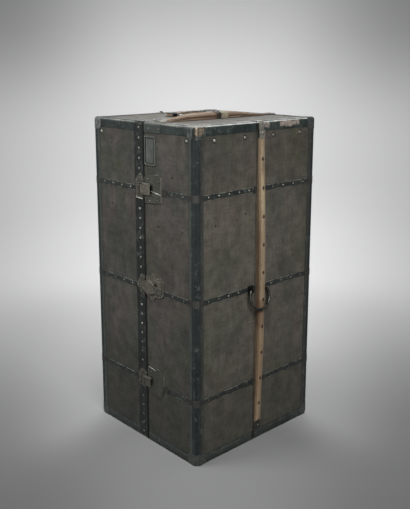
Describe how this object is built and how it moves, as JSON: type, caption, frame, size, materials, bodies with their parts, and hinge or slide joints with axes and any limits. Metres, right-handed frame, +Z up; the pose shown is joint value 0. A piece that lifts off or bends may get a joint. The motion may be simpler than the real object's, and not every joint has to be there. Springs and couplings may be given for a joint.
{
  "type": "wardrobe trunk",
  "caption": "Upright wardrobe trunk that opens like a book on back hinges, with drawers in one half, sliding hangers in the other, hasps, bails and bowed wooden runners.",
  "frame": {"origin": "middle of the shut trunk's footprint, on the ground", "axes": "+Z up, -Y out of the lock face, +X out of the side with the bowed runner beside the joint line"},
  "size_m": [0.586, 0.5738, 1.1236],
  "materials": {
    "canvas": "plywood covered with waxed cotton canvas, matt",
    "fibre_binding": "vulcanised fibre, dark blue-green, worn satin",
    "fibre_band": "vulcanised fibre, dark green, worn satin",
    "steel_trim": "aged pressed steel",
    "rivets": "aged domed steel heads",
    "hardware": "aged nickelled steel",
    "brass": "tarnished brass",
    "label_frame": "dull greenish steel",
    "hinge_steel": "aged steel",
    "black_iron": "worn black iron",
    "runner_wood": "bent ash, worn and oiled",
    "lining": "printed lining paper, plain small check",
    "drawer_board": "cloth-covered board",
    "rail_steel": "nickelled steel",
    "hanger_wood": "varnished beech",
    "handle_leather": "old brown leather"
  },
  "bodies": {
    "left_half": {"left_back_panel": "canvas", "left_bail_eyes": "black_iron", "left_bands": "fibre_band", "left_bottom_panel": "canvas", "left_edge_bindings": "fibre_binding", "left_front_panel": "canvas", "left_hinge_leaves": "hinge_steel", "left_lining": "lining", "left_rivets": "rivets", "left_runner_fittings": "steel_trim", "left_side_panel": "canvas", "left_side_runner": "runner_wood", "left_steel_trim": "steel_trim", "left_top_panel": "canvas", "seam_strip": "fibre_band", "hasp_plates": "hardware", "hinge_pins": "hinge_steel", "drawer_cabinet": "drawer_board", "top_handle": "handle_leather", "handle_brackets": "black_iron"},
    "right_half": {"right_side_panel_front": "canvas", "right_side_panel_rear": "canvas", "right_front_panel": "canvas", "right_back_panel": "canvas", "right_top_panels": "canvas", "right_bottom_panels": "canvas", "right_edge_bindings": "fibre_binding", "right_bands": "fibre_band", "right_steel_trim": "steel_trim", "right_rivets": "rivets", "right_lining": "lining", "right_hinge_leaves": "hinge_steel", "right_bail_eyes": "black_iron", "right_side_runner": "runner_wood", "top_runner": "runner_wood", "runner_fittings": "steel_trim", "seam_tongue": "steel_trim", "side_seam_ties": "steel_trim", "upper_catch_plate": "hardware", "lower_catch_plate": "hardware", "lock_plate": "hardware", "lock_case": "hardware", "label_holder": "label_frame", "hanger_channel": "rail_steel"},
    "right_bail": {"right_bail": "black_iron"},
    "left_bail": {"left_bail": "black_iron"},
    "upper_hasp": {"upper_hasp": "hardware"},
    "lock_hasp": {"lock_hasp": "hardware"},
    "lower_hasp": {"lower_hasp": "hardware"},
    "lock_plug": {"lock_plug": "brass"},
    "lock_thumb_catch": {"lock_thumb_catch": "hardware"},
    "hanger_trolley": {"hanger_trolley": "rail_steel"},
    "drawer_1": {"drawer_1": "drawer_board"},
    "hanger_1": {"hanger_1": "hanger_wood"},
    "drawer_2": {"drawer_2": "drawer_board"},
    "hanger_2": {"hanger_2": "hanger_wood"},
    "drawer_3": {"drawer_3": "drawer_board"},
    "hanger_3": {"hanger_3": "hanger_wood"},
    "drawer_4": {"drawer_4": "drawer_board"},
    "hanger_4": {"hanger_4": "hanger_wood"}
  },
  "joints": [
    {"name": "right_half_swing", "type": "hinge", "parent": "left_half", "child": "right_half", "pos_m": [0.0145, 0.2813, 0.55], "axis": [0, 0, 1], "range_deg": [0, 150]},
    {"name": "upper_hasp_turn", "type": "hinge", "parent": "left_half", "child": "upper_hasp", "pos_m": [0.006, -0.283, 0.885], "axis": [0, 0, -1], "range_deg": [0, 115]},
    {"name": "lock_hasp_turn", "type": "hinge", "parent": "left_half", "child": "lock_hasp", "pos_m": [-0.004, -0.283, 0.5575], "axis": [0, 0, -1], "range_deg": [0, 115]},
    {"name": "lower_hasp_turn", "type": "hinge", "parent": "left_half", "child": "lower_hasp", "pos_m": [0, -0.283, 0.2185], "axis": [0, 0, -1], "range_deg": [0, 115]},
    {"name": "lock_plug_turn", "type": "hinge", "parent": "right_half", "child": "lock_plug", "pos_m": [0.076, -0.28, 0.574], "axis": [0, -1, 0], "range_deg": [0, 90]},
    {"name": "thumb_catch_slide", "type": "slide", "parent": "right_half", "child": "lock_thumb_catch", "axis": [1, 0, 0], "range_m": [0, 0.004]},
    {"name": "right_bail_lift", "type": "hinge", "parent": "right_half", "child": "right_bail", "pos_m": [0.273, -0.006, 0.547], "axis": [0, -1, 0], "range_deg": [0, 150]},
    {"name": "left_bail_lift", "type": "hinge", "parent": "left_half", "child": "left_bail", "pos_m": [-0.273, -0.006, 0.547], "axis": [0, 1, 0], "range_deg": [0, 150]},
    {"name": "drawer_1_slide", "type": "slide", "parent": "left_half", "child": "drawer_1", "axis": [1, 0, 0], "range_m": [0, 0.18]},
    {"name": "drawer_2_slide", "type": "slide", "parent": "left_half", "child": "drawer_2", "axis": [1, 0, 0], "range_m": [0, 0.18]},
    {"name": "drawer_3_slide", "type": "slide", "parent": "left_half", "child": "drawer_3", "axis": [1, 0, 0], "range_m": [0, 0.18]},
    {"name": "drawer_4_slide", "type": "slide", "parent": "left_half", "child": "drawer_4", "axis": [1, 0, 0], "range_m": [0, 0.18]},
    {"name": "hanger_trolley_slide", "type": "slide", "parent": "right_half", "child": "hanger_trolley", "axis": [-1, 0, 0], "range_m": [0, 0.15]},
    {"name": "hanger_1_slide", "type": "slide", "parent": "hanger_trolley", "child": "hanger_1", "axis": [1, 0, 0], "range_m": [-0.012, 0.012]},
    {"name": "hanger_2_slide", "type": "slide", "parent": "hanger_trolley", "child": "hanger_2", "axis": [1, 0, 0], "range_m": [-0.012, 0.012]},
    {"name": "hanger_3_slide", "type": "slide", "parent": "hanger_trolley", "child": "hanger_3", "axis": [1, 0, 0], "range_m": [-0.012, 0.012]},
    {"name": "hanger_4_slide", "type": "slide", "parent": "hanger_trolley", "child": "hanger_4", "axis": [1, 0, 0], "range_m": [-0.012, 0.012]}
  ]
}
